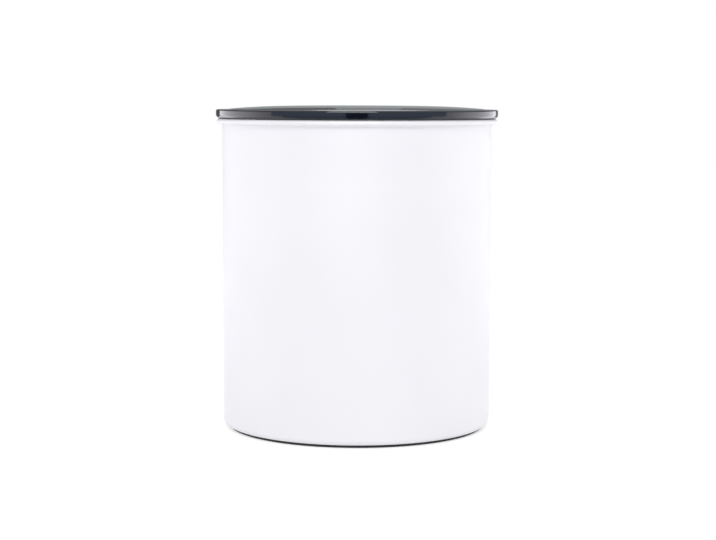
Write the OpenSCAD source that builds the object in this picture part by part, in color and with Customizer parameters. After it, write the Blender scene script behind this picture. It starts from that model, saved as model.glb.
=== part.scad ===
// Coffee canister: a coated steel can, a lift-off outer lid, and a press-down inner lid
// with a vent valve that its folding handle opens.
// The origin is on the table under the can's axis, +Z is up and the viewer stands at -Y.

/* [Can] */
// Outside diameter of the straight wall
can_d = 170; // [160:1:180]
// Height of the mouth above the table, at the top of the rolled bead
can_h = 195.2; // [185:0.1:215]
// Thickness of the steel sheet
sheet_t = 0.5; // [0.4:0.1:0.8]
// Outside radius of the bottom corner
corner_r = 3.7; // [3:0.1:3.9]
// Height of the lowest steel above the table
can_lift = 1.7; // [0.9:0.1:2]

/* [Rolled bead] */
// How far the bead stands out from the wall
bead_out = 3.4; // [2.8:0.1:4]
// Height of the bead
bead_h = 3.6; // [3.4:0.1:4.4]
// Radius of the fillet under the bead
bead_fillet = 0.9; // [0.5:0.1:1.2]

/* [Foot ring] */
// How far the rubber ring stands in from the wall
foot_inset = 4.2; // [4:0.1:6]
// Width of the ring, seen from below
foot_w = 8.8; // [6:0.2:12]
// Height of the ring
foot_h = 2.6; // [2:0.1:3]

/* [Outer lid] */
// How far the lid's edge stands out past the bead
lid_over = 0.5; // [0.2:0.1:1]
// Height of the lid's rim, from its seat on the bead to its top corner
rim_h = 5.55; // [4.5:0.05:6]
// Width of the flat rim round the domed middle
rim_w = 8.4; // [5:0.1:14]
// Height of the small step from the dome's edge down to the rim
rim_step = 0.35; // [0.2:0.05:0.8]
// How far the middle of the dome stands above its edge
crown_h = 2.05; // [1:0.05:4]
// Steepness of the dome, where a larger number keeps the middle flatter
crown_power = 4; // [2:0.1:5]
// Radius of the rounded lower edge
rim_nose_r = 2.5; // [2:0.1:3]
// Wall thickness of the lid
lid_t = 2; // [1.6:0.1:2.4]
// Depth of the plug ring that drops into the mouth
plug_h = 7.6; // [5:0.1:9]

/* [Inner lid] */
// Depth of the inner lid's deck below the mouth when it is at the top of its travel
deck_drop = 41.2; // [41:0.1:50]
// Depth of the inner lid below its deck
plunger_h = 16; // [15.5:0.1:17]
// Wall thickness of the inner lid's two mouldings
plunger_t = 2.2; // [1.8:0.1:2.4]
// Number of stiffening ribs between the two mouldings
rib_count = 8; // [4:1:12]
// Diameter of the shallow well that the handle lies in
well_d = 92; // [90:1:110]
// Gap between the seal's lips and the can
lip_gap = 0.3; // [0.2:0.05:0.5]

/* [Valve] */
// Outside diameter of the valve housing
housing_d = 40; // [40:0.2:41]
// How far the handle lifts the valve off its seat
valve_lift = 2.12; // [1.7:0.01:2.3]
// Number of vent holes under the valve
vent_count = 8; // [6:1:9]
// Diameter of a vent hole
vent_d = 3.2; // [2.6:0.1:3.4]
// Number of turns of the valve spring
spring_turns = 4.5; // [3.5:0.5:5]

/* [Handle] */
// Inside width of the bail
bail_gap = 43.2; // [43.2:0.2:44]
// Width of the bail's section
bail_w = 4.4; // [4:0.1:5]
// Thickness of the bail's section
bail_t = 5; // [4:0.1:5.4]
// Length of the straight arms
arm_l = 12; // [10:0.5:12]
// Height of the hinge above the deck
hinge_h = 5; // [5:0.1:5.3]

/* [Hidden] */

$fn = 96;
arc_steps = 8;

// Can
can_r = can_d / 2;
can_in_r = can_r - sheet_t;
panel_z = foot_h;
floor_z = panel_z + sheet_t;
corner_z = can_lift + corner_r;
foot_r = can_r - foot_inset;
step_r = foot_r + 0.2;
bead_r = (can_in_r + can_r + bead_out) / 2;
bead_z = can_h - bead_h / 2;
bead_low = can_h - bead_h;

// Outer lid
lid_r = can_r + bead_out + lid_over;
rim_corner_r = 1;
seat_gap = 0.05;
seat_z = can_h + seat_gap;
rim_top = seat_z + rim_h;
dome_r = lid_r - rim_w;
lid_top = rim_top + rim_step + crown_h;
plug_r = can_in_r - 0.4;
plug_in_r = plug_r - lid_t;
crown_steps = 16;

// Inner lid, with heights from its deck
deck_z = can_h - deck_drop;
body_low = -plunger_h;
plate_top = body_low + plunger_t;
flange_r = can_in_r - 2;
groove_r = flange_r - 3;
groove_low = body_low + 3.4;
groove_top = -3.4;
wall_in_r = groove_r - 2.1;
wall_top = -1.6;
lip_r = can_in_r - lip_gap;
rib_t = 1.6;
rib_top = -6;
socket_h = 6.8;

// Valve housing
housing_r = housing_d / 2;
housing_in_r = housing_r - 2;
housing_top = 11.9;
guide_top = 0.2;
guide_low = -1.8;
bearing_r = 5.2;
bearing_l = 5.4;
running_gap = 0.06;
push_gap = 0.05;

// Valve
seat_lip_h = 0.8;
seal_low = plate_top + seat_lip_h + push_gap;
seal_t = 1.8;
seal_r = 12.2;
disc_low = seal_low + seal_t;
disc_t = 1.6;
disc_r = 11.1;
disc_top = disc_low + disc_t;
peg_r = 3;
stem_r = 5;
vent_ring_r = 6.5;
wire_d = 0.8;
spring_r = 7.2;

// Cams. The offset turns from 45 degrees below the hinge to 45 degrees above it.
cam_r = 3.2;
cam_out = valve_lift / 2 / sin(45);
cam_gap = 0.1;
cam_x = 7.5;
shaft_x = 13;
shaft_r = 3;
shaft_end_r = 2.4;
shaft_flat = 1.7;
yoke_l = 25.2;
yoke_w = 8;
yoke_t = 2;
yoke_low = hinge_h - cam_out * sin(45) + cam_r + cam_gap;

// Handle
bail_in_r = bail_gap / 2;
bail_r = bail_in_r + bail_w;
boss_r = 3.9;

steel_white = [0.95, 0.95, 0.97];
lid_black = [0.09, 0.09, 0.10];
moulding_black = [0.13, 0.13, 0.14];
rubber_black = [0.10, 0.10, 0.10];
silicone_grey = [0.55, 0.57, 0.60];
steel_bright = [0.75, 0.76, 0.78];
acetal_white = [0.90, 0.90, 0.88];

// Points of an arc about c, from angle a0 to a1, with its own radius along each axis
function arc(c, rx, rz, a0, a1) =
    [for (i = [0 : arc_steps]) let (a = a0 + (a1 - a0) * i / arc_steps) c + [rx * cos(a), rz * sin(a)]];

// Height of the lid's dome at radius r
function crown_z(r) = lid_top - crown_h * pow(r / dome_r, crown_power);

// A ring about the Z axis
module ring(r_out, r_in, z_low, z_high) {
    rotate_extrude()
        translate([r_in, z_low])
            square([r_out - r_in, z_high - z_low]);
}

// A bar along X, from x0 to x1, at the hinge's height
module hinge_bar(r, x0, x1) {
    translate([x0, 0, hinge_h])
        rotate([0, 90, 0])
            cylinder(r = r, h = x1 - x0);
}

// Everything on the inner lid is drawn from its deck and set at the deck's height
module on_deck() {
    translate([0, 0, deck_z])
        children();
}

module can_shell() {
    inner_r = corner_r - sheet_t;
    corner_c = [can_r - corner_r, corner_z];
    color(steel_white)
        rotate_extrude()
            polygon(concat(
                [[0, panel_z], [step_r, panel_z], [step_r, can_lift]],
                arc(corner_c, corner_r, corner_r, -90, 0),
                arc([can_r + bead_fillet, bead_low - bead_fillet], bead_fillet, bead_fillet, 180, 90),
                arc([bead_r, bead_z], can_r + bead_out - bead_r, bead_h / 2, -90, 90),
                arc([bead_r, bead_z], bead_r - can_in_r, bead_h / 2, 90, 180),
                arc(corner_c, inner_r, inner_r, 0, asin((floor_z - corner_z) / inner_r)),
                [[0, floor_z]]
            ));
}

module foot_ring() {
    edge_r = 0.6;
    in_r = foot_r - foot_w;
    color(rubber_black)
        rotate_extrude()
            polygon(concat(
                arc([in_r + edge_r, edge_r], edge_r, edge_r, 180, 270),
                arc([foot_r - edge_r, edge_r], edge_r, edge_r, 270, 360),
                [[foot_r, foot_h], [in_r, foot_h]]
            ));
}

module outer_lid() {
    cove_r = 4.8;
    cove_a = acos(1 - rim_step / cove_r);
    color(lid_black)
        rotate_extrude()
            polygon(concat(
                [for (i = [0 : crown_steps]) let (r = plug_in_r * i / crown_steps) [r, crown_z(r) - lid_t]],
                [[plug_in_r, seat_z - plug_h], [plug_r, seat_z - plug_h], [plug_r, seat_z]],
                arc([lid_r - rim_nose_r, seat_z + rim_nose_r], rim_nose_r, rim_nose_r, -90, 0),
                arc([lid_r - rim_corner_r, rim_top - rim_corner_r], rim_corner_r, rim_corner_r, 0, 90),
                arc([dome_r + cove_r * sin(cove_a), rim_top + cove_r], cove_r, cove_r, -90, -90 - cove_a),
                [for (i = [crown_steps - 1 : -1 : 0]) let (r = dome_r * i / crown_steps) [r, crown_z(r)]]
            ));
}

module plunger_base() {
    edge_r = 1.4;
    color(moulding_black)
        on_deck()
            difference() {
                union() {
                    rotate_extrude()
                        polygon(concat(
                            [[0, body_low]],
                            arc([flange_r - edge_r, body_low + edge_r], edge_r, edge_r, -90, 0),
                            [
                                [flange_r, groove_low], [groove_r, groove_low],
                                [groove_r, groove_top], [flange_r, groove_top],
                                [flange_r, wall_top], [wall_in_r, wall_top],
                                [wall_in_r, plate_top], [0, plate_top]
                            ]
                        ));
                    ring(housing_r + push_gap + 2.2, housing_r + push_gap, plate_top, plate_top + socket_h);
                    ring(3.4, 2.6, plate_top, plate_top + seat_lip_h);
                    ring(10.4, 9.6, plate_top, plate_top + seat_lip_h);
                    for (i = [0 : rib_count - 1])
                        rotate([0, 0, (i + 0.5) * 360 / rib_count])
                            translate([housing_r + 1, -rib_t / 2, plate_top])
                                cube([wall_in_r - housing_r - 0.5, rib_t, rib_top - plate_top]);
                }
                for (i = [0 : vent_count - 1])
                    rotate([0, 0, i * 360 / vent_count])
                        translate([vent_ring_r, 0, body_low - 1])
                            cylinder(d = vent_d, h = plunger_t + 2);
            }
}

module plunger_cover() {
    rim_r = flange_r;
    rim_in_r = wall_in_r - 1;
    rim_high = 2.6;
    edge_r = 2;
    hole_r = housing_r + 0.4;
    collar_w = 2;
    collar_h = 0.6;
    well_h = 0.6;
    skirt_r = wall_in_r - 0.2;
    color(moulding_black)
        on_deck()
            rotate_extrude()
                polygon(concat(
                    [
                        [hole_r, -plunger_t], [skirt_r - 2, -plunger_t],
                        [skirt_r - 2, rib_top + 0.2], [skirt_r, rib_top + 0.2],
                        [skirt_r, wall_top], [rim_r, wall_top]
                    ],
                    arc([rim_r - edge_r, rim_high - edge_r], edge_r, edge_r, 0, 90),
                    arc([rim_in_r - rim_high, rim_high], rim_high, rim_high, 0, -90),
                    [
                        [well_d / 2, 0], [well_d / 2, -well_h], [hole_r + collar_w, -well_h],
                        [hole_r + collar_w, collar_h], [hole_r, collar_h]
                    ]
                ));
}

module wiper_seal() {
    back_r = groove_r + push_gap;
    face_r = flange_r - 0.6;
    low = groove_low + 0.1;
    high = groove_top - 0.1;
    lip_lows = [low + 1.9, low + 6.5];
    color(silicone_grey)
        on_deck()
            rotate_extrude()
                polygon(concat(
                    [[back_r, low], [face_r, low]],
                    [for (z = lip_lows) each [[face_r, z], [lip_r, z + 1.4], [lip_r, z + 2], [face_r, z + 1]]],
                    [[face_r, high], [back_r, high]]
                ));
}

module valve_housing() {
    slot_w = 8;
    slot_h = 1.6;
    color(moulding_black)
        on_deck()
            difference() {
                union() {
                    ring(housing_r, housing_in_r, plate_top, housing_top);
                    ring(housing_in_r + 1, stem_r + running_gap, guide_low, guide_top);
                    intersection() {
                        for (side = [0, 180])
                            rotate([0, 0, side])
                                hinge_bar(bearing_r, housing_r - bearing_l, housing_r);
                        cylinder(r = housing_r, h = housing_top);
                    }
                }
                hinge_bar(shaft_r + running_gap, -housing_r - 1, housing_r + 1);
                for (a = [45 : 90 : 315])
                    rotate([0, 0, a])
                        translate([12.5, 0, guide_low - 1])
                            cylinder(r = 1.8, h = guide_top - guide_low + 2);
                translate([-slot_w / 2, -housing_r - 1, housing_top - 4])
                    cube([slot_w, 2 * housing_r + 2, slot_h]);
            }
}

module housing_cap() {
    spigot_r = housing_in_r - push_gap;
    edge_r = 1.5;
    cap_h = 2.4;
    color(moulding_black)
        on_deck()
            rotate_extrude()
                polygon(concat(
                    [
                        [0, housing_top], [spigot_r - 1.6, housing_top],
                        [spigot_r - 1.6, housing_top - 2], [spigot_r, housing_top - 2],
                        [spigot_r, housing_top], [housing_r, housing_top]
                    ],
                    arc([housing_r - edge_r, housing_top + cap_h - edge_r], edge_r, edge_r, 0, 90),
                    [[0, housing_top + cap_h + 0.4]]
                ));
}

module valve_stem() {
    color(acetal_white)
        on_deck() {
            translate([0, 0, disc_top])
                cylinder(r = stem_r, h = yoke_low + 1 - disc_top);
            translate([0, 0, disc_low + 0.2])
                cylinder(r = peg_r, h = disc_t);
            translate([-yoke_l / 2, -yoke_w / 2, yoke_low])
                cube([yoke_l, yoke_w, yoke_t]);
        }
}

module valve_disc() {
    color(acetal_white)
        on_deck()
            ring(disc_r, peg_r + 0.02, disc_low, disc_top);
}

module valve_seal() {
    color(silicone_grey)
        on_deck()
            rotate_extrude()
                polygon([
                    [0, seal_low], [seal_r, seal_low],
                    [seal_r, disc_top - 0.4], [disc_r + 0.02, disc_top - 0.4],
                    [disc_r + 0.02, disc_low], [0, disc_low]
                ]);
}

// One unbroken tube of wire, with its rings counted along the helix
spring_low = disc_top + wire_d / 2 + push_gap;
spring_high = guide_low - wire_d / 2 - push_gap;
ring_sides = 6;
rings_per_turn = 16;
spring_rings = spring_turns * rings_per_turn;
function spring_point(i, j) =
    let (a = i * 360 / rings_per_turn, b = j * 360 / ring_sides)
    let (r = spring_r + wire_d / 2 * cos(b))
    [r * cos(a), r * sin(a), spring_low + (spring_high - spring_low) * i / spring_rings + wire_d / 2 * sin(b)];
spring_gap = (spring_high - spring_low) / spring_turns - wire_d;
echo(least_gap_between_spring_turns = spring_gap);

module valve_spring() {
    points = [for (i = [0 : spring_rings]) for (j = [0 : ring_sides - 1]) spring_point(i, j)];
    sides = [
        for (i = [0 : spring_rings - 1])
            for (j = [0 : ring_sides - 1])
                let (k = (j + 1) % ring_sides, a = i * ring_sides, b = a + ring_sides)
                each [[a + j, b + j, b + k], [a + j, b + k, a + k]]
    ];
    last = spring_rings * ring_sides;
    ends = [
        for (j = [1 : ring_sides - 2])
            each [[0, j, j + 1], [last, last + j + 1, last + j]]
    ];
    color(steel_bright)
        on_deck()
            polyhedron(points = points, faces = concat(sides, ends), convexity = 10);
}

// The keyed end of a shaft, or with a gap the hole for it, from x0 to x1
module shaft_end(gap, x0, x1) {
    intersection() {
        hinge_bar(shaft_end_r + gap, x0, x1);
        translate([x0 - 1, -shaft_r - 1, hinge_h - shaft_r - 1])
            cube([x1 - x0 + 2, 2 * shaft_r + 2, shaft_r + 1 + shaft_flat + gap]);
    }
}

module handle() {
    color(moulding_black)
        on_deck()
            difference() {
                union() {
                    translate([0, 0, hinge_h - bail_t / 2])
                        linear_extrude(height = bail_t)
                            difference() {
                                union() {
                                    translate([0, arm_l])
                                        circle(r = bail_r);
                                    translate([-bail_r, 0])
                                        square([2 * bail_r, arm_l]);
                                }
                                translate([0, arm_l])
                                    circle(r = bail_in_r);
                                translate([-bail_in_r, -bail_r])
                                    square([2 * bail_in_r, bail_r + arm_l]);
                                translate([-bail_r - 1, -bail_r - 1])
                                    square([2 * bail_r + 2, bail_r + 1]);
                            }
                    hinge_bar(boss_r, bail_in_r, bail_r);
                    hinge_bar(boss_r, -bail_r, -bail_in_r);
                }
                shaft_end(0.02, bail_in_r - 1, bail_r + 1);
                shaft_end(0.02, -bail_r - 1, -bail_in_r + 1);
            }
}

// The shaft on the +X side: a cam under the yoke, a journal in the housing and a keyed end
module cam_shaft() {
    color(acetal_white)
        on_deck() {
            translate([0, cam_out * cos(45), -cam_out * sin(45)])
                hinge_bar(cam_r, cam_x, shaft_x + 0.2);
            hinge_bar(shaft_r, shaft_x, bail_in_r - 0.1);
            shaft_end(0, bail_in_r - 0.6, bail_r - 0.2);
        }
}

module cam_shaft_right() {
    cam_shaft();
}

module cam_shaft_left() {
    mirror([1, 0, 0])
        cam_shaft();
}

can_shell();
foot_ring();
outer_lid();
plunger_base();
plunger_cover();
wiper_seal();
valve_housing();
housing_cap();
valve_stem();
valve_disc();
valve_seal();
valve_spring();
handle();
cam_shaft_left();
cam_shaft_right();
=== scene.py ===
"""Coffee canister: modelled pieces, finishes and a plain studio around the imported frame."""

import math

import bmesh
import bpy
from bpy.props import FloatProperty, FloatVectorProperty, IntProperty, PointerProperty
from mathutils import Euler, Matrix, Vector


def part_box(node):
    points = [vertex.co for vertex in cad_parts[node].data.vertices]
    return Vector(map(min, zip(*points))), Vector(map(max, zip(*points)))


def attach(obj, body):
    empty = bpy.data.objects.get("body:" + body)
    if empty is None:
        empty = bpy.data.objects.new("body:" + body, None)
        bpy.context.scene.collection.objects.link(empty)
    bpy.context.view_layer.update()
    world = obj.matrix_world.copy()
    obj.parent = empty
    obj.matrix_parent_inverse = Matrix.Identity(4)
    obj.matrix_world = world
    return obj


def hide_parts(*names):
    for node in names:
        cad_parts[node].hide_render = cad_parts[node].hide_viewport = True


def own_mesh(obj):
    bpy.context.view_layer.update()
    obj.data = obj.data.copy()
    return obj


bl_info = {
    "name": "Coffee Canister",
    "version": (1, 0, 0),
    "blender": (4, 5, 0),
    "location": "3D View > Sidebar > Canister",
    "description": "Models the visible pieces of a coffee canister, its finishes and a studio",
    "category": "Add Mesh",
}

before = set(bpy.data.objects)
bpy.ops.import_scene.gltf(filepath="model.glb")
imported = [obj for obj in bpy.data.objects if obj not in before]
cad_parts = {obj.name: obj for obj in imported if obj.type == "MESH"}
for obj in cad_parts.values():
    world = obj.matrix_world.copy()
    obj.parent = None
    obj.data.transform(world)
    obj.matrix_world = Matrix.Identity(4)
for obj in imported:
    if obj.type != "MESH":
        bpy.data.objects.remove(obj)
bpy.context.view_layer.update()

MM = 0.001
TINY = 0.001 * MM
IMAGE_WIDTH = 716
SENSOR_WIDTH = 36

# The studio, in metres, and the glow of the white room in reflections
CARD_FOOT = 0.001
TABLE_INNER = 0.1
TABLE_OUTER = 1.3
WALL_FADE = 0.8
WALL_TOP = 0.95
ROOM_GLOW = 1.0

CAN_LOW, CAN_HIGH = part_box("can_shell")
FOOT_LOW, FOOT_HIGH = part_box("foot_ring")
LID_LOW, LID_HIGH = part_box("outer_lid")
BASE_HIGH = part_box("plunger_base")[1]
COVER_LOW, COVER_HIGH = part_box("plunger_cover")
TOWER_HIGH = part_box("valve_housing")[1]
CAP_LOW, CAP_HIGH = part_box("housing_cap")
BAIL_LOW, BAIL_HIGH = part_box("handle")
SPRING_LOW, SPRING_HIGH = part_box("valve_spring")


def length(name, description, default):
    """A length property in metres, shown in the scene's own units."""
    return FloatProperty(
        name=name, description=description, default=default, min=0.0, unit="LENGTH", precision=5
    )


def colour(name, description, default):
    """A linear colour property."""
    return FloatVectorProperty(
        name=name, description=description, default=default, size=3, min=0.0, max=1.0, subtype="COLOR"
    )


def share(name, description, default):
    """A property from 0 to 1."""
    return FloatProperty(
        name=name, description=description, default=default, min=0.0, max=1.0, subtype="FACTOR"
    )


def level(name, description, default):
    """A level of light, where 1 is white."""
    return FloatProperty(name=name, description=description, default=default, min=0.0)


class CANISTER_PG_can(bpy.types.PropertyGroup):
    """Sizes of the can and its foot ring"""

    steps: IntProperty(name="Steps", description="Faces round each turned piece", default=256, min=32)
    wall_radius: length("Wall radius", "Outside radius of the straight wall", 85 * MM)
    sheet: length("Sheet", "Thickness of the steel", 0.5 * MM)
    corner_radius: length("Corner radius", "Outside radius of the bottom corner", 3.7 * MM)
    bead_height: length("Bead height", "Height of the rolled bead", 3.6 * MM)
    bead_fillet: length("Bead fillet", "Radius of the fillet under the bead", 0.9 * MM)
    coat_inside: length("Coat inside", "How far the coat runs down inside the mouth", 3 * MM)
    edge: length("Edge", "Radius of the small pressed and moulded edges", 0.3 * MM)
    recess_gap: length("Recess gap", "Gap round the rubber ring in its recess", 0.2 * MM)
    panel_inset: length("Panel inset", "From the recess's edge in to the pressed ring", 14 * MM)
    panel_bead: length("Panel bead", "Depth of the pressed ring in the base panel", 0.5 * MM)
    foot_width: length("Foot width", "Width of the rubber ring", 8.8 * MM)
    foot_edge: length("Foot edge", "Radius of the rubber ring's edges", 0.6 * MM)
    foot_groove: length("Foot groove", "Depth of the grooves in the rubber's face", 0.3 * MM)


class CANISTER_PG_lid(bpy.types.PropertyGroup):
    """Sizes of the outer lid"""

    rim_width: length("Rim width", "Width of the flat rim round the domed middle", 8.4 * MM)
    step: length("Step", "Height of the small step from the dome down to the rim", 0.35 * MM)
    step_crest: length("Step crest", "Radius of the step's upper bend", 1.5 * MM)
    step_cove: length("Step cove", "Radius of the step's lower bend", 4.4 * MM)
    crown: length("Crown", "Height of the middle above the dome's edge", 2.05 * MM)
    crown_power: FloatProperty(
        name="Crown power", description="A larger number keeps the middle flatter", default=4.0, min=1.0
    )
    nose_radius: length("Nose radius", "Radius of the rim's lower edge", 2.5 * MM)
    rim_corner: length("Rim corner", "Radius of the rim's top corner", 1 * MM)
    rim_height: length("Rim height", "Height of the rim from its seat to its top", 5.55 * MM)
    wall: length("Wall", "Thickness of the moulding", 2 * MM)
    plug_radius: length("Plug radius", "Outside radius of the plug ring", 84.1 * MM)
    plug_fillet: length("Plug fillet", "Radius inside the plug ring's root", 1.2 * MM)


class CANISTER_PG_inner_lid(bpy.types.PropertyGroup):
    """Sizes of the inner lid's visible pieces"""

    deck_height: length("Deck height", "Height of the deck at rest", COVER_HIGH.z - 2.6 * MM)
    rim_height: length("Rim height", "Height of the rim above the deck", 2.6 * MM)
    rim_width: length("Rim width", "Width of the rim", 6.1 * MM)
    wall: length("Wall", "Thickness of the moulding", 2.2 * MM)
    well_radius: length("Well radius", "Radius of the shallow well that the handle lies in", 46 * MM)
    well_depth: length("Well depth", "Depth of the well", 0.6 * MM)
    arm_length: length("Arm length", "Length of the handle's straight arms", 12 * MM)
    bail_width: length("Bail width", "Width of the handle's section", 4.4 * MM)
    bail_thickness: length("Bail thickness", "Thickness of the handle's section", 5 * MM)
    bail_edge: length("Bail edge", "Radius of the handle's edges", 1.2 * MM)


class CANISTER_PG_finish(bpy.types.PropertyGroup):
    """Colours of the finishes"""

    coat: colour("Coat", "White powder coat outside the can", (0.875, 0.870, 0.905))
    steel: colour("Steel", "Brushed steel inside the can", (0.62, 0.62, 0.63))
    gloss: colour("Gloss", "Glossy black of the outer lid", (0.0055, 0.0075, 0.013))
    satin: colour("Satin", "Satin black of the inner lid's mouldings", (0.018, 0.018, 0.020))
    rubber: colour("Rubber", "Black rubber of the foot ring", (0.012, 0.012, 0.013))
    silicone: colour("Silicone", "Translucent grey silicone of the seals", (0.42, 0.44, 0.46))
    acetal: colour("Acetal", "Natural white plastic of the valve's moving pieces", (0.78, 0.77, 0.72))


class CANISTER_PG_stage(bpy.types.PropertyGroup):
    """The camera and the studio"""

    distance: length("Distance", "From the can's axis to the camera", 1117 * MM)
    eye_height: length("Eye height", "Height of the camera above the floor", 210.5 * MM)
    pitch: FloatProperty(
        name="Pitch", description="Tilt of the camera below level", default=0.09962, subtype="ANGLE"
    )
    roll: FloatProperty(
        name="Roll", description="Turn of the camera about its view", default=-0.0026, subtype="ANGLE"
    )
    focal: FloatProperty(name="Focal length", description="In pixels of the image", default=1760.6)
    axis_column: FloatProperty(name="Axis column", description="Column of the can's axis", default=357.1)
    ambient: level("Ambient", "Light of the white room on the can", 0.815)
    floor_radius: length("Floor radius", "Radius of the round floor", 4.0)
    floor_tone: share("Floor tone", "How much light the floor gives back", 0.7)
    floor_glow: level("Floor glow", "Light of the translucent floor itself", 0.25)
    floor_lift: level("Floor lift", "What is added to bring the floor to white", 0.25)
    front_tint: colour("Front tint", "Cool light that reflections see in front", (0.64, 0.75, 1.0))
    side_tint: colour("Side tint", "Light of the side cards", (0.95, 0.93, 1.0))
    back_tint: colour("Back tint", "Light of the cards behind", (0.92, 0.97, 1.0))
    front_level: level("Front level", "Glow that reflections see in front", 1.08)
    table_level: level("Table level", "Glow that reflections see low in front", 0.8)
    table_side_level: level("Table side level", "Glow that reflections see low at the sides", 1.4)
    side_level: level("Side level", "Glow of the side cards", 2.8)
    side_edge_level: level("Side edge level", "Glow of the side cards' front edges", 1.75)
    back_level: level("Back level", "Glow of the grey card behind", 0.42)
    dark_level: level("Dark level", "Glow of the dark card behind on the left", 0.18)
    right_dark_level: level("Right dark level", "Glow of the dark card behind on the right", 0.36)
    band_level: level("Band level", "Glow behind, above the grey card", 0.37)
    right_band_level: level("Right band level", "Glow to the right of that band", 0.252)
    lamp_level: level("Lamp level", "Glow of the bright card high behind", 1.8)
    wall_level: level("Wall level", "Glow of the walls beside that card and at the sides", 0.4)
    key_level: level("Key level", "Glow of the high card in front", 8.0)
    fill_level: level("Fill level", "Radiance of the soft lamp in front", 1.9)


def settings(group):
    """The scene's property group of that name."""
    return getattr(bpy.context.scene, "canister_" + group)


# Outlines and meshes


def arc(centre, radii, start, end, steps=12):
    """Points of an arc in the outline's plane, radius then height, with its angles in degrees."""
    angles = [math.radians(start + (end - start) * i / steps) for i in range(steps + 1)]
    return [
        (centre[0] + radii[0] * math.cos(a), centre[1] + radii[1] * math.sin(a)) for a in angles
    ]


def round_arc(centre, radius, start, end, steps=12):
    """Points of a round arc."""
    return arc(centre, (radius, radius), start, end, steps)


def without_repeats(points):
    """The outline's points, each at least a micrometre from the last."""
    kept = [points[0]]
    for point in points[1:]:
        if math.dist(point, kept[-1]) > TINY:
            kept.append(point)
    return kept


def spin_outline(bm, points, material=0, closed=False):
    """Spins an outline about the can's axis and gives its faces that material."""
    outline = without_repeats(points)
    verts = [bm.verts.new((radius, 0, height)) for radius, height in outline]
    pairs = list(zip(verts, verts[1:]))
    if closed:
        pairs.append((verts[-1], verts[0]))
    edges = [bm.edges.new(pair) for pair in pairs]
    known = set(bm.faces)
    bmesh.ops.spin(
        bm,
        geom=verts + edges,
        cent=(0, 0, 0),
        axis=(0, 0, 1),
        angle=2 * math.pi,
        steps=settings("can").steps,
        use_merge=True,
    )
    for face in bm.faces:
        if face not in known:
            face.material_index = material


def add_disc(bm, place, radius, height):
    """A flat disc whose middle is at that place, half sunk in the face that it marks."""
    bmesh.ops.create_cone(
        bm,
        cap_ends=True,
        segments=32,
        radius1=radius,
        radius2=radius,
        depth=height,
        matrix=Matrix.Translation(place),
    )


def add_rib(bm, start, end, radius):
    """A straight round rib between two points, half sunk in the face that it crosses."""
    along = Vector(end) - Vector(start)
    turn = along.to_track_quat("Z", "Y").to_matrix().to_4x4()
    bmesh.ops.create_cone(
        bm,
        cap_ends=True,
        segments=12,
        radius1=radius,
        radius2=radius,
        depth=along.length,
        matrix=Matrix.Translation((Vector(start) + Vector(end)) / 2) @ turn,
    )


def finish_piece(bm, name, body, materials, nodes, sharp_angle=30):
    """Closes the mesh, and makes it an object that rides on the body and stands for its CAD nodes."""
    bmesh.ops.remove_doubles(bm, verts=bm.verts, dist=TINY / 2)
    bmesh.ops.recalc_face_normals(bm, faces=bm.faces)
    for face in bm.faces:
        face.smooth = True
    mesh = bpy.data.meshes.new(name)
    bm.to_mesh(mesh)
    bm.free()
    mesh.set_sharp_from_angle(angle=math.radians(sharp_angle))
    for material in materials:
        mesh.materials.append(material)
    piece = bpy.data.objects.new(name, mesh)
    bpy.context.scene.collection.objects.link(piece)
    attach(piece, body)
    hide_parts(*nodes)
    return piece


# Materials


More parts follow.
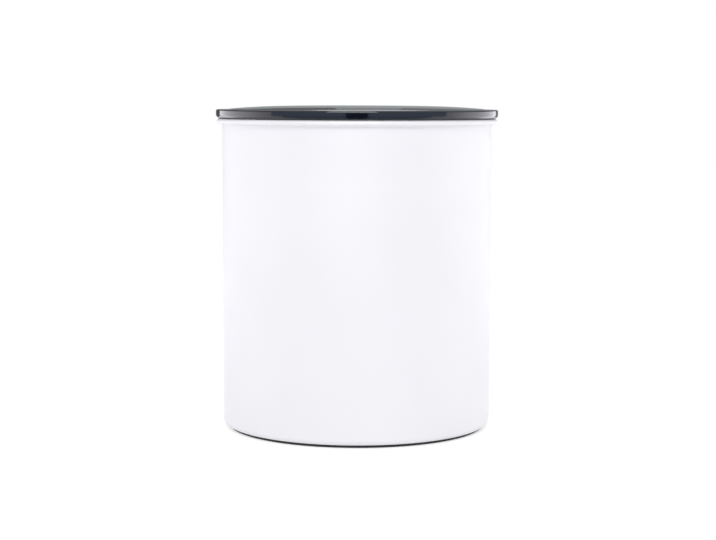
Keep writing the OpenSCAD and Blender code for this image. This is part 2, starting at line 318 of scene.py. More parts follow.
class Shader:
    """A material with a Principled shader and short ways to add nodes to it."""

    def __init__(self, name, base, roughness, **inputs):
        self.material = bpy.data.materials.new(name)
        self.material.use_nodes = True
        self.tree = self.material.node_tree
        self.bsdf = self.tree.nodes["Principled BSDF"]
        self.bsdf.inputs["Base Color"].default_value = (*base, 1.0)
        self.bsdf.inputs["Roughness"].default_value = roughness
        for key, value in inputs.items():
            self.bsdf.inputs[key.replace("_", " ")].default_value = value
        self.place = self.node("ShaderNodeTexCoord").outputs["Object"]

    def node(self, kind, **values):
        """A new node, with its own fields set from values."""
        made = self.tree.nodes.new(kind)
        for key, value in values.items():
            setattr(made, key, value)
        return made

    def link(self, output, socket):
        """Joins an output to a socket."""
        self.tree.links.new(output, socket)

    def math(self, operation, first, second=0.0):
        """The output of a Math node on two numbers or outputs."""
        made = self.node("ShaderNodeMath", operation=operation)
        for socket, value in zip(made.inputs, (first, second)):
            if isinstance(value, (int, float)):
                socket.default_value = value
            else:
                self.link(value, socket)
        return made.outputs[0]

    def stretched(self, scale):
        """The place on the piece, scaled along each axis."""
        made = self.node("ShaderNodeMapping")
        made.inputs["Scale"].default_value = scale
        self.link(self.place, made.inputs["Vector"])
        return made.outputs[0]

    def noise(self, scale, detail=2.0, vector=None):
        """Noise with so many grains to the metre."""
        made = self.node("ShaderNodeTexNoise")
        made.inputs["Scale"].default_value = scale
        made.inputs["Detail"].default_value = detail
        self.link(vector or self.place, made.inputs["Vector"])
        return made.outputs["Fac"]

    def spread(self, factor, low, high):
        """A factor from 0.3 to 0.7 spread from low to high."""
        made = self.node("ShaderNodeMapRange")
        made.inputs["From Min"].default_value = 0.3
        made.inputs["From Max"].default_value = 0.7
        made.inputs["To Min"].default_value = low
        made.inputs["To Max"].default_value = high
        self.link(factor, made.inputs["Value"])
        return made.outputs[0]

    def tint(self, factor, low, high):
        """A colour between low and high, and its link to the base colour."""
        made = self.node("ShaderNodeMix", data_type="RGBA")
        made.inputs["A"].default_value = (*low, 1.0)
        made.inputs["B"].default_value = (*high, 1.0)
        self.link(factor, made.inputs["Factor"])
        self.link(made.outputs["Result"], self.bsdf.inputs["Base Color"])

    def relief(self, height, depth):
        """Bumps of that depth, in metres."""
        made = self.node("ShaderNodeBump")
        made.inputs["Strength"].default_value = 1.0
        made.inputs["Distance"].default_value = depth
        self.link(height, made.inputs["Height"])
        self.link(made.outputs["Normal"], self.bsdf.inputs["Normal"])


def shades(base, darker, lighter):
    """Two shades of a colour."""
    return [channel * darker for channel in base], [min(1.0, channel * lighter) for channel in base]


def powder_coat():
    """White powder coat: a soft sheen with the slight ripple of baked powder."""
    finish = settings("finish")
    shader = Shader("powder_coat", finish.coat, 0.5, IOR=1.45)
    shader.tint(shader.spread(shader.noise(14), 0, 1), *shades(finish.coat, 0.985, 1.01))
    shader.link(shader.spread(shader.noise(60, 4), 0.46, 0.54), shader.bsdf.inputs["Roughness"])
    shader.relief(shader.noise(900, 3), 0.004 * MM)
    return shader.material


def brushed_steel():
    """Bare stainless steel, brushed round the can, with the wall's welded seam at the back."""
    finish = settings("finish")
    shader = Shader("brushed_steel", finish.steel, 0.45, Metallic=1.0)
    parts = shader.node("ShaderNodeSeparateXYZ")
    shader.link(shader.place, parts.inputs[0])
    x, y, z = parts.outputs
    around = shader.math("ARCTAN2", y, x)
    squares = shader.math("ADD", shader.math("MULTIPLY", x, x), shader.math("MULTIPLY", y, y))
    radius = shader.math("SQRT", squares)
    stroke = 1.5 * MM
    joined = shader.node("ShaderNodeCombineXYZ")
    shader.link(shader.math("MULTIPLY", around, stroke), joined.inputs[0])
    shader.link(radius, joined.inputs[1])
    shader.link(z, joined.inputs[2])
    brushing = shader.noise(2600, 3, joined.outputs[0])
    shader.tint(shader.spread(brushing, 0, 1), *shades(finish.steel, 0.9, 1.1))
    seam_half = 0.4 * MM
    seam_side = 60 * MM
    seam = shader.math(
        "MULTIPLY",
        shader.math("LESS_THAN", shader.math("ABSOLUTE", x), seam_half),
        shader.math("GREATER_THAN", y, seam_side),
    )
    rougher = shader.math("MULTIPLY", seam, 0.1)
    rough = shader.math("ADD", shader.spread(brushing, 0.38, 0.52), rougher)
    shader.link(rough, shader.bsdf.inputs["Roughness"])
    shader.relief(brushing, 0.003 * MM)
    return shader.material


def glossy_black():
    """Polished black moulding, with faint waves and hair scratches in its gloss."""
    finish = settings("finish")
    shader = Shader("glossy_black", finish.gloss, 0.05, IOR=1.5)
    shader.tint(shader.spread(shader.noise(30), 0, 1), *shades(finish.gloss, 0.85, 1.2))
    scratches = shader.noise(500, 4, shader.stretched((1.0, 8.0, 1.0)))
    shader.link(shader.spread(scratches, 0.04, 0.09), shader.bsdf.inputs["Roughness"])
    shader.relief(shader.noise(80, 1), 0.002 * MM)
    return shader.material


def satin_black():
    """Satin black moulding with the fine grain of a spark-eroded tool."""
    finish = settings("finish")
    shader = Shader("satin_black", finish.satin, 0.42, IOR=1.5)
    shader.tint(shader.spread(shader.noise(25), 0, 1), *shades(finish.satin, 0.8, 1.25))
    shader.link(shader.spread(shader.noise(300, 4), 0.36, 0.5), shader.bsdf.inputs["Roughness"])
    shader.relief(shader.noise(2200, 3), 0.012 * MM)
    return shader.material


def black_rubber():
    """Matte black rubber with a slight bloom."""
    finish = settings("finish")
    shader = Shader("black_rubber", finish.rubber, 0.75, IOR=1.45)
    shader.tint(shader.spread(shader.noise(120, 3), 0, 1), *shades(finish.rubber, 0.8, 1.6))
    shader.link(shader.spread(shader.noise(700, 3), 0.66, 0.85), shader.bsdf.inputs["Roughness"])
    shader.relief(shader.noise(2500, 2), 0.02 * MM)
    return shader.material


def grey_silicone():
    """Milky grey silicone with a soft skin."""
    finish = settings("finish")
    shader = Shader("grey_silicone", finish.silicone, 0.45, IOR=1.41, Subsurface_Weight=0.25)
    shader.bsdf.inputs["Subsurface Radius"].default_value = (2 * MM, 2 * MM, 2 * MM)
    shader.tint(shader.spread(shader.noise(90, 2), 0, 1), *shades(finish.silicone, 0.94, 1.05))
    shader.link(shader.spread(shader.noise(500, 3), 0.4, 0.52), shader.bsdf.inputs["Roughness"])
    shader.relief(shader.noise(1500, 2), 0.008 * MM)
    return shader.material


def white_acetal():
    """Natural white acetal, slick and slightly waxy."""
    finish = settings("finish")
    shader = Shader("white_acetal", finish.acetal, 0.35, IOR=1.48)
    shader.tint(shader.spread(shader.noise(150, 2), 0, 1), *shades(finish.acetal, 0.95, 1.04))
    shader.link(shader.spread(shader.noise(900, 3), 0.3, 0.42), shader.bsdf.inputs["Roughness"])
    shader.relief(shader.noise(1800, 2), 0.006 * MM)
    return shader.material


def spring_wire():
    """Bright drawn steel wire."""
    finish = settings("finish")
    shader = Shader("spring_wire", finish.steel, 0.25, Metallic=1.0)
    shader.tint(shader.spread(shader.noise(1200, 2), 0, 1), *shades(finish.steel, 0.85, 1.1))
    shader.link(shader.spread(shader.noise(3000, 2), 0.2, 0.34), shader.bsdf.inputs["Roughness"])
    return shader.material


MAKERS = {
    "powder_coat": powder_coat,
    "brushed_steel": brushed_steel,
    "glossy_black": glossy_black,
    "satin_black": satin_black,
    "black_rubber": black_rubber,
    "grey_silicone": grey_silicone,
    "white_acetal": white_acetal,
    "spring_wire": spring_wire,
}


def material(name):
    """The material of that name, made when it is first asked for."""
    return bpy.data.materials.get(name) or MAKERS[name]()


def dress_node(node, name):
    """Gives a CAD node that stays in view its material."""
    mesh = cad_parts[node].data
    mesh.materials.clear()
    mesh.materials.append(material(name))


# Pieces


def can_outlines():
    """The can's coated outline, from its base up into the mouth, and its bare one down to the floor."""
    can = settings("can")
    lift = CAN_LOW.z
    panel = FOOT_HIGH.z
    wall = can.wall_radius
    inner = wall - can.sheet
    corner = (wall - can.corner_radius, lift + can.corner_radius)
    step = FOOT_HIGH.x + can.recess_gap
    bead = ((inner + CAN_HIGH.x) / 2, CAN_HIGH.z - can.bead_height / 2)
    half_bead = can.bead_height / 2
    bead_low = CAN_HIGH.z - can.bead_height
    coat_end = bead[1] - can.coat_inside
    floor = panel + can.sheet
    inner_corner = can.corner_radius - can.sheet
    floor_angle = math.degrees(math.asin((floor - corner[1]) / inner_corner))
    press = can.panel_bead
    flat, slope = 3 * press, 2 * press
    ring = step - can.panel_inset
    pressed = [(ring - flat - slope, 0), (ring - flat, -press)]
    pressed += [(ring + flat, -press), (ring + flat + slope, 0)]
    coated = [(0, panel)] + [(radius, panel + dip) for radius, dip in pressed]
    coated += [(step - can.edge, panel), (step, panel - can.edge / 2)]
    coated += round_arc((step + can.edge, lift + can.edge), can.edge, 180, 270, 6)
    coated += round_arc(corner, can.corner_radius, -90, 0, 16)
    fillet = can.bead_fillet
    coated += round_arc((wall + fillet, bead_low - fillet), fillet, 180, 90, 8)
    coated += arc(bead, (CAN_HIGH.x - bead[0], half_bead), -90, 90, 28)
    coated += arc(bead, (bead[0] - inner, half_bead), 90, 180, 14)
    coated += [(inner, coat_end)]
    bare = [(inner, coat_end)]
    bare += round_arc(corner, inner_corner, 0, floor_angle, 8)
    bare += [(radius, floor + dip) for radius, dip in reversed(pressed)]
    bare += [(0, floor)]
    return coated, bare


class CANISTER_OT_can(bpy.types.Operator):
    """Model the steel can, coated outside and bare inside"""

    bl_idname = "canister.can"
    bl_label = "Can"

    def execute(self, context):
        coated, bare = can_outlines()
        bm = bmesh.new()
        spin_outline(bm, coated, 0)
        spin_outline(bm, bare, 1)
        materials = [material("powder_coat"), material("brushed_steel")]
        finish_piece(bm, "can_body", "can", materials, ["can_shell"])
        return {"FINISHED"}


class CANISTER_OT_foot(bpy.types.Operator):
    """Model the rubber foot ring with its grooved underside"""

    bl_idname = "canister.foot"
    bl_label = "Foot ring"

    grooves: IntProperty(name="Grooves", description="Grooves in the underside", default=3, min=0)

    def execute(self, context):
        can = settings("can")
        outer = FOOT_HIGH.x
        inner = outer - can.foot_width
        edge = can.foot_edge
        low, high = FOOT_LOW.z, FOOT_HIGH.z
        outline = round_arc((inner + edge, low + edge), edge, 180, 270, 6)
        flat = outer - inner - 2 * edge
        pitch = flat / (2 * self.grooves + 1)
        for i in range(self.grooves):
            start = inner + edge + pitch * (2 * i + 1)
            middle = start + pitch / 2
            outline += arc((middle, low), (pitch / 2, can.foot_groove), 180, 0, 8)
        outline += round_arc((outer - edge, low + edge), edge, 270, 360, 6)
        outline += [(outer, high), (inner, high)]
        bm = bmesh.new()
        spin_outline(bm, outline, closed=True)
        finish_piece(bm, "foot_rubber", "can", [material("black_rubber")], ["foot_ring"])
        return {"FINISHED"}


class CANISTER_OT_outer_lid(bpy.types.Operator):
    """Model the glossy outer lid with its low dome, its flat rim and its plug ring"""

    bl_idname = "canister.outer_lid"
    bl_label = "Outer lid"

    rings: IntProperty(name="Rings", description="Rings from the middle to the rim", default=32, min=4)
    pins: IntProperty(name="Pin marks", description="Ejector marks on the underside", default=8, min=0)
    pin_radius: length("Pin radius", "Radius of an ejector mark", 3 * MM)
    pin_circle: share("Pin circle", "The marks' circle as a share of the dome's radius", 0.7)
    gate_radius: length("Gate radius", "Radius of the gate's mark in the middle", 5 * MM)
    mark_height: length("Mark height", "Height of the marks, half of it sunk in", 0.4 * MM)

    def execute(self, context):
        lid = settings("lid")
        edge = settings("can").edge
        rim = LID_HIGH.x
        top = LID_HIGH.z
        rim_top = top - lid.crown - lid.step
        seat = rim_top - lid.rim_height
        dome = rim - lid.rim_width
        plug_low = LID_LOW.z
        plug_inner = lid.plug_radius - lid.wall

        def crown(radius):
            return top - lid.crown * (radius / dome) ** lid.crown_power

        # The underside, from the middle out, and the plug ring
        radii = [plug_inner * i / self.rings for i in range(self.rings)]
        fillet = lid.plug_fillet
        under = crown(plug_inner) - lid.wall
        outline = [(r, crown(r) - lid.wall) for r in radii if r < plug_inner - fillet]
        outline += round_arc((plug_inner - fillet, under - fillet), fillet, 90, 0, 6)
        outline += round_arc((plug_inner + edge, plug_low + edge), edge, 180, 270, 4)
        outline += round_arc((lid.plug_radius - edge, plug_low + edge), edge, 270, 360, 4)
        # The rim, from the seat on the can's bead up to its flat
        outline += [(lid.plug_radius, seat)]
        nose, corner = lid.nose_radius, lid.rim_corner
        outline += round_arc((rim - nose, seat + nose), nose, -90, 0, 20)
        outline += round_arc((rim - corner, rim_top - corner), corner, 0, 90, 12)
        # The step, a cove and then a crest, which meets the dome at the dome's own slope
        crest, cove = lid.step_crest, lid.step_cove
        slope = math.atan(lid.crown_power * lid.crown / dome)
        steepest = math.acos((crest * math.cos(slope) + cove - lid.step) / (crest + cove))
        crest_centre = (dome - crest * math.sin(slope), rim_top + lid.step - crest * math.cos(slope))
        reach = (crest + cove) * math.sin(steepest)
        cove_centre = (crest_centre[0] + reach, rim_top + cove)
        turn = math.degrees(steepest)
        outline += round_arc(cove_centre, cove, -90, -90 - turn, 10)
        outline += round_arc(crest_centre, crest, 90 - turn, 90 - math.degrees(slope), 6)
        dome_radii = [dome * i / self.rings for i in range(self.rings - 1, -1, -1)]
        outline += [(radius, crown(radius)) for radius in dome_radii]
        bm = bmesh.new()
        spin_outline(bm, outline)
        add_disc(bm, (0, 0, crown(0) - lid.wall), self.gate_radius, self.mark_height)
        circle = self.pin_circle * dome
        height = crown(circle) - lid.wall
        for i in range(self.pins):
            angle = 2 * math.pi * (i + 0.5) / self.pins
            place = (circle * math.cos(angle), circle * math.sin(angle), height)
            add_disc(bm, place, self.pin_radius, self.mark_height)
        finish_piece(bm, "lid_moulding", "lid", [material("glossy_black")], ["outer_lid"])
        return {"FINISHED"}


class CANISTER_OT_deck(bpy.types.Operator):
    """Model the inner lid's dished deck with its rolled rim"""

    bl_idname = "canister.deck"
    bl_label = "Inner lid deck"

    def execute(self, context):
        inner = settings("inner_lid")
        edge = settings("can").edge
        deck = inner.deck_height
        rim_top = COVER_HIGH.z
        rim = COVER_HIGH.x
        rim_inner = rim - inner.rim_width
        rim_edge = 2 * MM
        seat = BASE_HIGH.z
        tower_gap = 0.4 * MM
        collar_width = 2 * MM
        collar_rise = 0.6 * MM
        skirt_inset = 5.3 * MM
        skirt_wall = 2 * MM
        hole = TOWER_HIGH.x + tower_gap
        collar = hole + collar_width
        collar_top = deck + collar_rise
        skirt = rim - skirt_inset
        skirt_low = COVER_LOW.z
        outline = [(hole, deck - inner.wall), (skirt - skirt_wall, deck - inner.wall)]
        outline += [(skirt - skirt_wall, skirt_low), (skirt, skirt_low), (skirt, seat)]
        outline += round_arc((rim - edge, seat + edge), edge, 270, 360, 4)
        outline += round_arc((rim - rim_edge, rim_top - rim_edge), rim_edge, 0, 90, 10)
        outline += round_arc((rim_inner + edge, rim_top - edge), edge, 90, 180, 4)
        outline += round_arc((rim_inner - inner.rim_height, rim_top), inner.rim_height, -8, -90, 10)
        well = deck - inner.well_depth
        outline += round_arc((inner.well_radius + edge, deck - edge), edge, 90, 180, 4)
        outline += round_arc((inner.well_radius - edge, well + edge), edge, 0, -90, 4)
        outline += round_arc((collar + edge, well + edge), edge, 270, 180, 4)
        outline += round_arc((collar - edge, collar_top - edge), edge, 0, 90, 4)
        outline += round_arc((hole + edge, collar_top - edge), edge, 90, 180, 4)
        bm = bmesh.new()
        spin_outline(bm, outline, closed=True)
        satin = [material("satin_black")]
        finish_piece(bm, "inner_lid_deck", "plunger", satin, ["plunger_cover"])
        return {"FINISHED"}


class CANISTER_OT_cap(bpy.types.Operator):
    """Model the cap of the valve's tower, with a shallow dish and a raised middle"""

    bl_idname = "canister.cap"
    bl_label = "Valve cap"

    def execute(self, context):
        edge = settings("can").edge
        radius = CAP_HIGH.x
        top = CAP_HIGH.z
        seat = TOWER_HIGH.z
        low = CAP_LOW.z
        spigot_inset = 2.05 * MM
        spigot_wall = 1.6 * MM
        shoulder = 1.5 * MM
        shoulder_height = 2.4 * MM
        groove_inset = 3.6 * MM
        groove_width = 0.8 * MM
        groove_depth = 0.5 * MM
        rings = 12
        spigot = radius - spigot_inset
        spigot_inner = spigot - spigot_wall
        shoulder_top = seat + shoulder_height
        groove = radius - groove_inset
        groove_middle = (groove - groove_width / 2, shoulder_top)
        dome_rise = top - shoulder_top
        dome_radius = groove - groove_width
        outline = [(0, seat), (spigot_inner, seat), (spigot_inner, low), (spigot - edge, low)]
        outline += [(spigot, low + edge), (spigot, seat), (radius - edge, seat), (radius, seat + edge)]
        outline += round_arc((radius - shoulder, shoulder_top - shoulder), shoulder, 0, 90, 10)
        outline += arc(groove_middle, (groove_width / 2, groove_depth), 0, -180, 8)
        parts = [i / rings for i in range(rings - 1, -1, -1)]
        outline += [(dome_radius * part, top - dome_rise * part ** 2) for part in parts]
        bm = bmesh.new()
        spin_outline(bm, outline)
        satin = [material("satin_black")]
        finish_piece(bm, "valve_cap", "plunger", satin, ["housing_cap"])
        return {"FINISHED"}


class CANISTER_OT_handle(bpy.types.Operator):
    """Model the folding handle: two eyes and a bail with rounded edges and finger ribs"""

    bl_idname = "canister.handle"
    bl_label = "Handle"

    ribs: IntProperty(name="Ribs", description="Finger ribs on each side of the bail", default=7, min=0)
    rib_pitch: FloatProperty(
        name="Rib pitch", description="Angle between the ribs", default=math.radians(5), subtype="ANGLE"
    )
    rib_radius: length("Rib radius", "Radius of a finger rib", 0.45 * MM)

    def execute(self, context):
        inner = settings("inner_lid")
        outer_radius = BAIL_HIGH.x
        inner_radius = outer_radius - inner.bail_width
        eye = (BAIL_HIGH.z - BAIL_LOW.z) / 2
        hinge = (BAIL_HIGH.z + BAIL_LOW.z) / 2
        half = inner.bail_thickness / 2
        start = math.degrees(math.asin(half / eye))
        # One arm with its eye, drawn from the side and swept to its width
        side = round_arc((0, hinge), eye, start, 360 - start, 28)
        side += [(inner.arm_length, hinge - half), (inner.arm_length, hinge + half)]
        bm = bmesh.new()
        verts = [bm.verts.new((inner_radius, y, z)) for y, z in side]
        face = bm.faces.new(verts)
        swept = bmesh.ops.extrude_face_region(bm, geom=[face])
        moved = [item for item in swept["geom"] if isinstance(item, bmesh.types.BMVert)]
        bmesh.ops.translate(bm, verts=moved, vec=(inner.bail_width, 0, 0))
        # The arm's end is opened, the other arm mirrored, and the bail spun from one to the other
        at_end = [v for v in bm.verts if abs(v.co.y - inner.arm_length) < TINY]
        end_face = next(f for f in bm.faces if all(v in at_end for v in f.verts))
        bmesh.ops.delete(bm, geom=[end_face], context="FACES_ONLY")
        arm = bm.verts[:] + bm.edges[:] + bm.faces[:]
        copy = bmesh.ops.duplicate(bm, geom=arm)["geom"]
        copied = [item for item in copy if isinstance(item, bmesh.types.BMVert)]
        bmesh.ops.scale(bm, verts=copied, vec=(-1, 1, 1))
        loop = [e for e in bm.edges if all(v in at_end for v in e.verts)]
        bmesh.ops.spin(
            bm,
            geom=at_end + loop,
            cent=(0, inner.arm_length, hinge),
            axis=(0, 0, 1),
            angle=math.pi,
            steps=64,
        )
        bmesh.ops.remove_doubles(bm, verts=bm.verts, dist=TINY)
        bmesh.ops.recalc_face_normals(bm, faces=bm.faces)
        sharpest = math.radians(40)
        sharp = [e for e in bm.edges if len(e.link_faces) == 2 and e.calc_face_angle() > sharpest]
        bmesh.ops.bevel(
            bm,
            geom=sharp,
            offset=inner.bail_edge,
            offset_type="OFFSET",
            segments=5,
            profile=0.5,
            affect="EDGES",
            material=-1,
            clamp_overlap=True,
        )
        # Finger ribs across both flat faces, each side of the middle
        for i in range(self.ribs):
            angle = math.pi / 2 + self.rib_pitch * (i - (self.ribs - 1) / 2)
            for height in (hinge - half, hinge + half):
                start, end = [
                    (radius * math.cos(angle), inner.arm_length + radius * math.sin(angle), height)
                    for radius in (inner_radius + inner.bail_edge, outer_radius - inner.bail_edge)
                ]
                add_rib(bm, start, end, self.rib_radius)
        finish_piece(bm, "folding_handle", "bail", [material("satin_black")], ["handle"])
        return {"FINISHED"}


class CANISTER_OT_carried_pieces(bpy.types.Operator):
    """Give the CAD pieces that stay in view their materials"""

    bl_idname = "canister.carried_pieces"
    bl_label = "Carried pieces"

    def execute(self, context):
        dress_node("plunger_base", "satin_black")
        dress_node("valve_housing", "satin_black")
        dress_node("wiper_seal", "grey_silicone")
        dress_node("valve_seal", "grey_silicone")
        for node in ("valve_stem", "valve_disc", "cam_shaft_left", "cam_shaft_right"):
            dress_node(node, "white_acetal")
        return {"FINISHED"}


class CANISTER_OT_spring(bpy.types.Operator):
    """Model the valve's coil spring at one fixed length; the real spring shortens as the valve opens"""

    bl_idname = "canister.spring"
    bl_label = "Valve spring"

    turns: FloatProperty(name="Turns", description="Turns of the coil", default=4.5)
    steps_per_turn: IntProperty(name="Steps per turn", description="Rings of wire in a turn", default=32)
    wire: length("Wire", "Diameter of the wire", 0.8 * MM)

    def execute(self, context):
        radius = SPRING_HIGH.x - self.wire / 2
        low = SPRING_LOW.z + self.wire / 2
        rise = SPRING_HIGH.z - SPRING_LOW.z - self.wire
        steps = round(self.turns * self.steps_per_turn)
        bm = bmesh.new()
        ring = bmesh.ops.create_circle(bm, segments=10, radius=self.wire / 2, cap_ends=False)["verts"]
        bmesh.ops.rotate(bm, verts=ring, cent=(0, 0, 0), matrix=Euler((math.pi / 2, 0, 0)).to_matrix())
        bmesh.ops.translate(bm, verts=ring, vec=(radius, 0, low))
        edges = bm.edges[:]
        bmesh.ops.spin(
            bm,
            geom=ring + edges,
            cent=(0, 0, 0),
            axis=(0, 0, 1),
            dvec=(0, 0, rise / steps),
            angle=2 * math.pi * self.turns,
            steps=steps,
        )
        open_edges = [e for e in bm.edges if e.is_boundary]
        bmesh.ops.holes_fill(bm, edges=open_edges, sides=0)
        wire = [material("spring_wire")]
        piece = finish_piece(bm, "coil_spring", "plunger", wire, ["valve_spring"])
        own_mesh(piece)
        return {"FINISHED"}


# Stage


def add_card(name, outline, start, end, glow, tint=(1.0, 1.0, 1.0), fades=()):
    """A studio card that only reflections see, spun between two azimuths from the camera's side.

    Each fade is an axis, a place on it with its own glow, and the place where the card's glow is reached.
    """
    bm = bmesh.new()
    verts = [bm.verts.new((0, -radius, height)) for radius, height in outline]
    edges = [bm.edges.new(pair) for pair in zip(verts, verts[1:])]
    turn = Matrix.Rotation(math.radians(start), 3, "Z")
    bmesh.ops.rotate(bm, verts=verts, cent=(0, 0, 0), matrix=turn)
    bmesh.ops.spin(
        bm,
        geom=verts + edges,
        cent=(0, 0, 0),
        axis=(0, 0, 1),
        angle=math.radians(end - start),
        steps=48,
    )
    mesh = bpy.data.meshes.new(name)
    bm.to_mesh(mesh)
    bm.free()
    paint = bpy.data.materials.new(name)
    paint.use_nodes = True
    tree = paint.node_tree
    tree.nodes.clear()
    emission = tree.nodes.new("ShaderNodeEmission")
    emission.inputs["Color"].default_value = (*tint, 1.0)
    emission.inputs["Strength"].default_value = glow
    output = tree.nodes.new("ShaderNodeOutputMaterial")
    tree.links.new(emission.outputs[0], output.inputs["Surface"])
    place = tree.nodes.new("ShaderNodeTexCoord")
    parts = tree.nodes.new("ShaderNodeSeparateXYZ")
    tree.links.new(place.outputs["Object"], parts.inputs[0])
    before = None
    for axis, first, first_glow, last in fades:
        fade = tree.nodes.new("ShaderNodeMapRange")
        fade.inputs["From Min"].default_value = first
        fade.inputs["From Max"].default_value = last
        fade.inputs["To Min"].default_value = first_glow
        fade.inputs["To Max"].default_value = glow
        if before:
            tree.links.new(before.outputs[0], fade.inputs["To Max"])
        tree.links.new(parts.outputs[axis], fade.inputs["Value"])
        tree.links.new(fade.outputs[0], emission.inputs["Strength"])
        before = fade
    mesh.materials.append(paint)
    card = bpy.data.objects.new(name, mesh)
    bpy.context.scene.collection.objects.link(card)
    card.visible_camera = False
    card.visible_diffuse = False
    card.visible_shadow = False


def add_lamp(name, place, size, radiance):
    """A soft oblong lamp of that radiance, which faces the middle of the can and leaves no reflection."""
    lamp = bpy.data.lights.new(name, "AREA")
    lamp.shape = "RECTANGLE"
    lamp.size, lamp.size_y = size
    lamp.energy = radiance * math.pi * size[0] * size[1]
    holder = bpy.data.objects.new(name, lamp)
    bpy.context.scene.collection.objects.link(holder)
    holder.location = place
    target = Vector((0, 0, CAN_HIGH.z / 2))
    holder.rotation_euler = (target - Vector(place)).to_track_quat("-Z", "Y").to_euler()
    holder.visible_camera = False
    holder.visible_glossy = False


def white_room(ambient):
    """A world that the camera and reflections see as white, with its own level of light."""
    world = bpy.data.worlds.new("white_room")
    bpy.context.scene.world = world
    world.use_nodes = True
    tree = world.node_tree
    tree.nodes.clear()
    path = tree.nodes.new("ShaderNodeLightPath")
    seen = tree.nodes.new("ShaderNodeMath")
    seen.operation = "MAXIMUM"
    tree.links.new(path.outputs["Is Camera Ray"], seen.inputs[0])
    either = tree.nodes.new("ShaderNodeMath")
    either.operation = "MAXIMUM"
    tree.links.new(path.outputs["Is Glossy Ray"], either.inputs[0])
    tree.links.new(path.outputs["Is Transmission Ray"], either.inputs[1])
    tree.links.new(either.outputs[0], seen.inputs[1])
    light = tree.nodes.new("ShaderNodeBackground")
    light.inputs["Strength"].default_value = ambient
    white = tree.nodes.new("ShaderNodeBackground")
    white.inputs["Color"].default_value = (1, 1, 1, 1)
    light.inputs["Color"].default_value = (1, 1, 1, 1)
    mix = tree.nodes.new("ShaderNodeMixShader")
    tree.links.new(seen.outputs[0], mix.inputs["Fac"])
    tree.links.new(light.outputs[0], mix.inputs[1])
    tree.links.new(white.outputs[0], mix.inputs[2])
    output = tree.nodes.new("ShaderNodeOutputWorld")
    tree.links.new(mix.outputs[0], output.inputs["Surface"])


def white_floor(stage):
    """A round white floor that glows a little, keeps the can's soft shadow and looks white."""
    drop = 0.2 * MM
    bm = bmesh.new()
    bmesh.ops.create_circle(bm, cap_ends=True, segments=96, radius=stage.floor_radius)
    bmesh.ops.translate(bm, verts=bm.verts, vec=(0, 0, -drop))
    mesh = bpy.data.meshes.new("floor")
    bm.to_mesh(mesh)
    bm.free()
    shader = Shader("white_floor", (stage.floor_tone,) * 3, 0.9)
    shader.bsdf.inputs["Specular IOR Level"].default_value = 0.0
    path = shader.node("ShaderNodeLightPath")
    seen = shader.math("MAXIMUM", path.outputs["Is Camera Ray"], path.outputs["Is Glossy Ray"])
    seen = shader.math("MAXIMUM", seen, path.outputs["Is Transmission Ray"])
    shader.bsdf.inputs["Emission Color"].default_value = (1, 1, 1, 1)
    strength = shader.math("ADD", shader.math("MULTIPLY", seen, stage.floor_lift), stage.floor_glow)
    shader.link(strength, shader.bsdf.inputs["Emission Strength"])
    mesh.materials.append(shader.material)
    floor = bpy.data.objects.new("floor", mesh)
    bpy.context.scene.collection.objects.link(floor)


def place_camera(scene, stage):
    """The camera in front of the can, a little above it and tilted down."""
    data = bpy.data.cameras.new("camera")
    data.sensor_width = SENSOR_WIDTH
    data.lens = stage.focal / IMAGE_WIDTH * data.sensor_width
    data.shift_x = (IMAGE_WIDTH / 2 - stage.axis_column) / IMAGE_WIDTH
    camera = bpy.data.objects.new("camera", data)
    scene.collection.objects.link(camera)
    camera.location = (0, -stage.distance, stage.eye_height)
    camera.rotation_euler = (math.pi / 2 - stage.pitch, stage.roll, 0)
    scene.camera = camera


def front_cards(stage):
    """The cool front and its table, the dark card round the camera, and the high key card."""
    top = 0.8
    shade_radius, shade_top, shade_foot = 1.0, 0.23, 2 * CARD_FOOT
    shade_half = 8.4
    tint = stage.front_tint
    front = [(TABLE_OUTER, CARD_FOOT), (TABLE_OUTER, top)]
    table = [(TABLE_INNER, CARD_FOOT), (TABLE_OUTER, CARD_FOOT)]
    shade = [(TABLE_INNER, shade_foot), (shade_radius, shade_foot), (shade_radius, shade_top)]
    key = [(1.2, 0.38), (0.8, 1.3)]
    add_card("front_card", front, -71, 76, stage.front_level, tint)
    add_card("front_table", table, -60, 60, stage.table_level, tint)
    add_card("camera_shade", shade, -shade_half, shade_half, 0.0)
    add_card("key_card", key, -24, 16, stage.key_level)


def side_cards(stage):
    """Bright cards close to the can's sides, the table there, and grey walls further out."""
    radius, top, fade = 0.4, 0.25, 0.225
    wall_radius, wall_foot = 1.25, 0.27
    tint = stage.side_tint
    outline = [(radius, CARD_FOOT), (radius, top)]
    table = [(TABLE_INNER, CARD_FOOT), (TABLE_OUTER, CARD_FOOT)]
    wall = [(wall_radius, wall_foot), (wall_radius, WALL_TOP)]
    for name, start, end, front in (("left", -136.5, -64.5, -0.172), ("right", 67.5, 141.5, -0.153)):
        fades = [("Y", front, stage.side_edge_level, 0.0), ("Z", top, ROOM_GLOW, fade)]
        add_card(name + "_card", outline, start, end, stage.side_level, tint, fades)
    add_card("side_table", table, 60, 300, stage.table_side_level, tint)
    for name, start, end in (("right_side_wall", 62, 147), ("left_side_wall", 217, 298)):
        add_card(name, wall, start, end, stage.wall_level, tint, [("Z", WALL_TOP, ROOM_GLOW, WALL_FADE)])


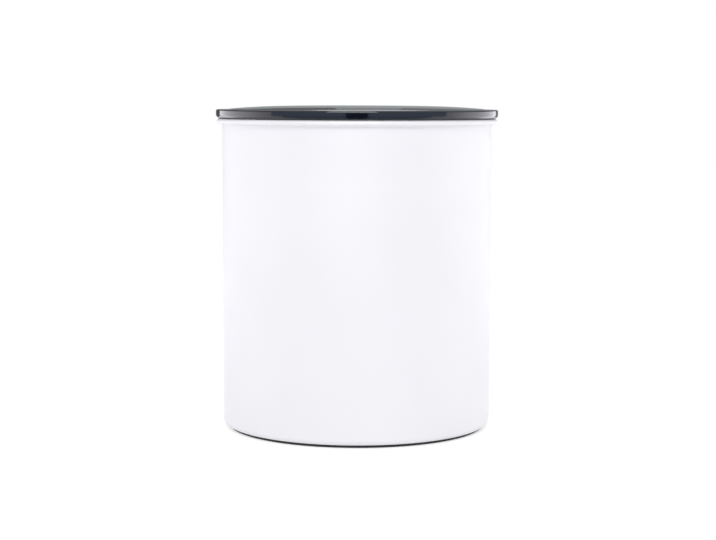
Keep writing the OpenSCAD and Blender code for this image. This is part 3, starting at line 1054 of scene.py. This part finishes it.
def back_cards(stage):
    """Grey and dark cards behind the can, bands above them, and walls and a bright card on top."""
    radius, middle, high = 1.2, 0.34, 0.52
    lean = 0.15
    whole = [(radius, CARD_FOOT), (radius, high)]
    lower = [(radius, CARD_FOOT), (radius, middle)]
    band = [(radius, middle), (radius, high)]
    wall = [(radius, high), (radius - lean, WALL_TOP)]
    soft = [("Z", WALL_TOP, ROOM_GLOW, WALL_FADE)]
    for name, outline, start, end, glow, fades in (
        ("right_dark_card", whole, 147, 168, stage.right_dark_level, ()),
        ("left_dark_card", whole, 191, 217, stage.dark_level, ()),
        ("back_card", lower, 168, 191, stage.back_level, ()),
        ("right_band", band, 168, 177, stage.right_band_level, ()),
        ("middle_band", band, 177, 181.5, stage.band_level, ()),
        ("left_band", band, 181.5, 191, stage.dark_level, ()),
        ("right_wall", wall, 147, 174, stage.wall_level, soft),
        ("back_lamp", wall, 174, 184, stage.lamp_level, ()),
        ("left_wall", wall, 184, 217, stage.wall_level, soft),
    ):
        add_card(name, outline, start, end, glow, stage.back_tint, fades)


class CANISTER_OT_stage(bpy.types.Operator):
    """Set up the camera, the white room, the floor, the cards and the lamp"""

    bl_idname = "canister.stage"
    bl_label = "Stage"

    def execute(self, context):
        stage = settings("stage")
        place_camera(context.scene, stage)
        context.scene.view_settings.view_transform = "Standard"
        white_room(stage.ambient)
        white_floor(stage)
        front_cards(stage)
        side_cards(stage)
        back_cards(stage)
        fill_place, fill_size = (0, -1.4, 1.2), (1.6, 0.7)
        add_lamp("front_fill", fill_place, fill_size, stage.fill_level)
        return {"FINISHED"}


class CANISTER_PT_sidebar(bpy.types.Panel):
    """Lists the pieces and the stage"""

    bl_idname = "CANISTER_PT_sidebar"
    bl_label = "Coffee canister"
    bl_space_type = "VIEW_3D"
    bl_region_type = "UI"
    bl_category = "Canister"

    def draw(self, context):
        for operator in OPERATORS:
            self.layout.operator(operator.bl_idname)
        for name in GROUPS:
            box = self.layout.box()
            group = settings(name)
            for key in group.bl_rna.properties.keys():
                if key not in ("rna_type", "name"):
                    box.prop(group, key)


GROUPS = {
    "can": CANISTER_PG_can,
    "lid": CANISTER_PG_lid,
    "inner_lid": CANISTER_PG_inner_lid,
    "finish": CANISTER_PG_finish,
    "stage": CANISTER_PG_stage,
}
OPERATORS = [
    CANISTER_OT_can,
    CANISTER_OT_foot,
    CANISTER_OT_outer_lid,
    CANISTER_OT_deck,
    CANISTER_OT_cap,
    CANISTER_OT_handle,
    CANISTER_OT_carried_pieces,
    CANISTER_OT_spring,
    CANISTER_OT_stage,
]


def register():
    """Registers the property groups, the operators and the panel."""
    for name, group in GROUPS.items():
        bpy.utils.register_class(group)
        setattr(bpy.types.Scene, "canister_" + name, PointerProperty(type=group))
    for operator in OPERATORS:
        bpy.utils.register_class(operator)
    bpy.utils.register_class(CANISTER_PT_sidebar)


def unregister():
    """Takes everything out again."""
    bpy.utils.unregister_class(CANISTER_PT_sidebar)
    for operator in reversed(OPERATORS):
        bpy.utils.unregister_class(operator)
    for name, group in reversed(GROUPS.items()):
        delattr(bpy.types.Scene, "canister_" + name)
        bpy.utils.unregister_class(group)


def main():
    """Builds every piece and the stage."""
    register()
    bpy.ops.canister.can()
    bpy.ops.canister.foot()
    bpy.ops.canister.outer_lid()
    bpy.ops.canister.deck()
    bpy.ops.canister.cap()
    bpy.ops.canister.handle()
    bpy.ops.canister.carried_pieces()
    bpy.ops.canister.spring()
    bpy.ops.canister.stage()


if __name__ == "__main__":
    main()
